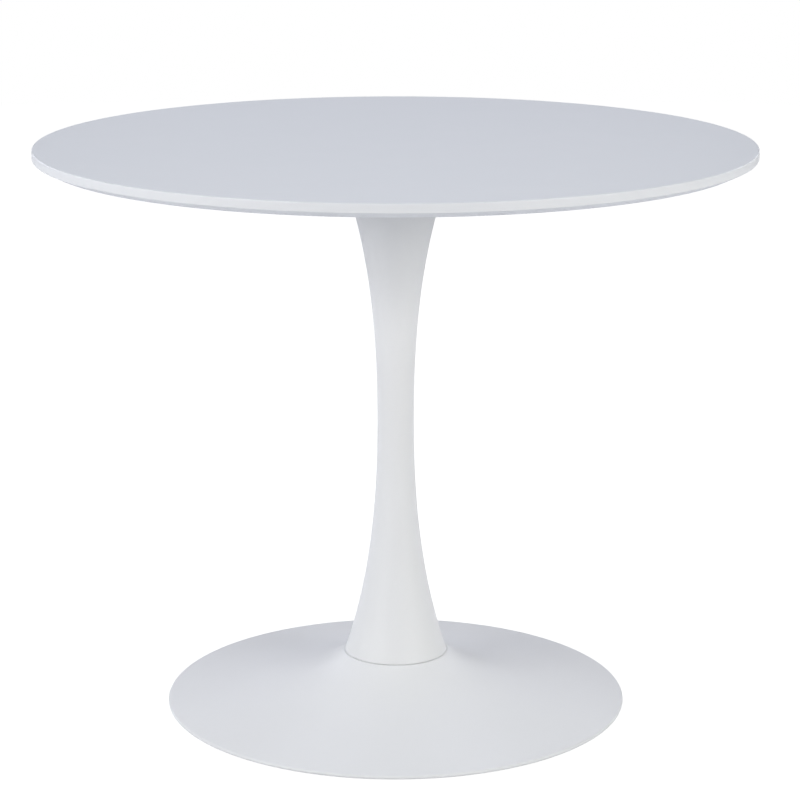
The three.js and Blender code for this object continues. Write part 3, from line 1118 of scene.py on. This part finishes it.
def makeSpider(values):
    low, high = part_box("top_spider")
    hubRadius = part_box("column_shell")[1].x
    top = high.z
    hubBottom = top - values["hubDepth"]
    spigot = hubRadius - values["spigotInset"]
    small = values["edgeRound"]
    outline = [
        (0, low.z), (spigot, low.z), (spigot, hubBottom), (hubRadius, hubBottom), (hubRadius, top), (0, top),
    ]
    body = turnedMesh(softened(outline, {1: values["spigotRound"], 3: small, 4: small}), 128)
    for i in range(values["arms"]):
        arm = spiderArm(values, top, hubBottom, hubRadius)
        body = combined(body, moved(arm, turn=2 * math.pi * (i + 0.5) / values["arms"]), "UNION")
    wellFloor = top - values["wellDepth"]
    over = values["overcut"]
    body = combined(body, plug(values["wellRadius"], wellFloor, top + over, 96), "DIFFERENCE")
    body = combined(body, plug(values["rodBore"], low.z - over, top + over, 48), "DIFFERENCE")
    holes = plugsAt(insertPlaces(), values["screwHole"], top - 2 * over, top + over)
    body = combined(body, joined(holes), "DIFFERENCE")
    bmesh.ops.triangulate(body, faces=[f for f in body.faces if len(f.verts) > 4])
    spider = makeObject("castSpider", body, materials["spider_coat"], sharpAngle=35)
    print("spider:", values["arms"], "arms,", len(spider.data.polygons), "faces")
    return settle(spider, "table", "spider_coat", "top_spider")


makeSpider(spiderValues)


# screws and inserts that hold the spider to the top

screwValues = {
    "shank": 0.003,
    "pitch": 0.001,
    "threadDepth": 0.00055,
    "headRadius": 0.006,
    "headHeight": 0.0036,
    "socketFlats": 0.0036,
    "socketDepth": 0.002,
}

insertValues = {"outer": 0.0045, "bore": 0.0033, "ribPitch": 0.002, "ribDepth": 0.0006}


def buttonHead(values, zinc):
    # button head with its underside at z = 0 and the threaded shank above it
    radius, height = values["headRadius"], values["headHeight"]
    crown = [(radius * math.cos(a) ** 0.9, -height * (0.25 + 0.75 * math.sin(a)))
             for a in (math.radians(5 + 85 * i / 10) for i in range(10))]
    section = [(0, 0), (radius - 0.0004, 0), (radius, -0.0004)] + crown
    section += [(radius * 0.25, -height), (0, -height)]
    head = turnedMesh(section, 48)
    socket = prism(hexagon(values["socketFlats"]), -height - 0.002, values["socketDepth"] - height)
    head = combined(head, socket, "DIFFERENCE")
    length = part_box("top_screw_1")[1].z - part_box("top_screw_1")[0].z - height - 0.0001
    shank = threaded(values["shank"], length, values["pitch"], values["threadDepth"], 24, zinc)
    return joined([head, moved(shank, (0, 0, 0.0001 + length / 2))])


def makeScrews(values):
    zinc = materials["zinc_steel"]
    names = [f"top_screw_{n}" for n in range(1, 9)]
    places = []
    for name in names:
        low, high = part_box(name)
        places.append(((low.x + high.x) / 2, (low.y + high.y) / 2, low.z + values["headHeight"]))
    mesh = placedCopies(buttonHead(values, zinc), places, zinc, seed=5)
    screws = makeObject("buttonHeadScrews", mesh, zinc, sharpAngle=40)
    print("screws:", len(places))
    return settle(screws, "table", "zinc_steel", *names)


def makeInserts(values):
    # sleeves with a coarse rib round them that bites into the board
    brass = materials["insert_brass"]
    low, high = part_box("insert_1")
    length = high.z - low.z
    sleeve = threaded(values["outer"], length, values["ribPitch"], values["ribDepth"], 32, brass)
    sleeve = combined(sleeve, plug(values["bore"], -length, length), "DIFFERENCE")
    mesh = placedCopies(sleeve, insertPlaces(), brass, seed=9)
    inserts = makeObject("brassInserts", mesh, brass, sharpAngle=45)
    print("inserts:", len(insertPlaces()))
    return settle(inserts, "table", "insert_brass", *[f"insert_{n}" for n in range(1, 9)])


makeScrews(screwValues)
makeInserts(insertValues)


# tie rod, its nuts and washers

rodValues = {
    "radius": 0.006,
    "threaded": 0.040,
    "pitch": 0.00175,
    "threadDepth": 0.0010,
    "nutFlats": 0.019,
    "nutBore": 0.0063,
    "nutCountersink": (0.0017, 0.0007),
    "nutFace": 0.95,
    "washerBore": 0.0065,
    "washerRound": 0.0006,
}


def makeRod(values):
    zinc = materials["zinc_steel"]
    low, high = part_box("tie_rod")
    length = values["threaded"]
    thread = (values["radius"], length, values["pitch"], values["threadDepth"], 32, zinc, 10)
    bottom = moved(threaded(*thread), (0, 0, low.z + length / 2))
    top = moved(threaded(*thread), (0, 0, high.z - length / 2))
    plain = values["radius"] - values["threadDepth"] * 0.45
    shank = plug(plain, low.z + length - 0.0005, high.z - length + 0.0005, 48)
    rod = makeObject("tieRod", joined([bottom, shank, top]), zinc, sharpAngle=45)
    return settle(rod, "table", "zinc_steel", "tie_rod")


def makeNut(name, node, values):
    low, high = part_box(node)
    height = high.z - low.z
    block = prism(hexagon(values["nutFlats"]), 0, height)
    corner, flat = values["nutFlats"] / math.sqrt(3), values["nutFlats"] / 2
    face, past = flat * values["nutFace"], corner + 0.0001
    drop = (corner - face) * math.tan(math.radians(30))
    section = [(0, 0), (face, 0), (past, drop), (past, height - drop), (face, height), (0, height)]
    block = combined(block, turnedMesh(section, 96), "INTERSECT")
    bore, (wide, deep) = values["nutBore"], values["nutCountersink"]
    section = [(0, -0.001), (bore + wide, -0.001), (bore, deep), (bore, height - deep),
               (bore + wide, height + 0.001), (0, height + 0.001)]
    block = combined(block, turnedMesh(section, 48), "DIFFERENCE")
    nut = makeObject(name, moved(block, (0, 0, low.z)), materials["zinc_steel"], sharpAngle=25)
    return settle(nut, "table", "zinc_steel", node)


def makeWasher(name, node, values):
    low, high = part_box(node)
    bore, ease = values["washerBore"], values["washerRound"]
    outline = [(bore, low.z), (high.x, low.z), (high.x, high.z), (bore, high.z)]
    rounds = {0: ease / 2, 1: ease, 2: ease / 3, 3: ease / 3}
    mesh = turnedMesh(softened(outline, rounds, closed=True), 72, closed=True)
    washer = makeObject(name, mesh, materials["zinc_steel"], sharpAngle=45)
    return settle(washer, "table", "zinc_steel", node)


makeRod(rodValues)
makeNut("lowerNut", "tie_rod_bottom_nut", rodValues)
makeNut("upperNut", "tie_rod_top_nut", rodValues)
makeWasher("lowerWasher", "tie_rod_bottom_washer", rodValues)
makeWasher("upperWasher", "tie_rod_top_washer", rodValues)
print("tie rod set ready")


# levelling glides

glideValues = {
    "padFloor": 0.0012,
    "studRadius": 0.004,
    "studPitch": 0.00125,
    "threadDepth": 0.0007,
    "headRadius": 0.007,
    "headHeight": 0.002,
    "headRound": 0.0004,
    "gap": 0.0003,
    "padChamfer": 0.001,
    "padRound": 0.0005,
    "neckRound": 0.0003,
}


def makePad(number, values):
    node = f"glide_{number}_pad"
    low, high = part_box(node)
    centre = middle(node)
    radius, height = (high.y - low.y) / 2, high.z - low.z
    neck, well = values["studRadius"] + values["gap"], values["headRadius"] + values["gap"]
    floor = values["padFloor"]
    ceiling = floor + values["headHeight"] + 2 * values["gap"]
    cut = values["padChamfer"]
    outline = [
        (0, 0), (radius - cut, 0), (radius, cut), (radius, height - cut), (radius - cut, height),
        (neck, height), (neck, ceiling), (well, ceiling), (well, floor), (0, floor),
    ]
    rounds = {i: values["padRound"] for i in range(1, 5)}
    rounds[5] = values["neckRound"]
    mesh = turnedMesh(softened(outline, rounds), 96)
    pad = makeObject(f"glidePad{number}", moved(mesh, (centre.x, centre.y, low.z)), materials["glide_nylon"])
    return settle(pad, f"glide_{number}_foot", "glide_nylon", node)


def makeStud(number, values):
    node = f"glide_{number}_stud"
    low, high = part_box(node)
    centre = middle(node)
    zinc = materials["zinc_steel"]
    radius, height = values["headRadius"], values["headHeight"]
    head = plug(radius, 0, height, 64, {1: values["headRound"], 2: values["headRound"]})
    length = high.z - low.z - height
    shank = threaded(values["studRadius"], length, values["studPitch"], values["threadDepth"], 32, zinc)
    mesh = joined([head, moved(shank, (0, 0, height + length / 2))])
    stud = makeObject(f"glideStud{number}", moved(mesh, (centre.x, centre.y, low.z)), zinc, sharpAngle=45)
    return settle(stud, f"glide_{number}_screw", "zinc_steel", node)


for number in range(1, 6):
    makePad(number, glideValues)
    makeStud(number, glideValues)
print("glides: 5")


# carried-over CAD pieces get their finish

for subpart in frame["record"]["subparts"]:
    node = frame["nodes"][subpart["node"]]
    node.data.materials.clear()
    node.data.materials.append(materials[subpart["material_slot"]])
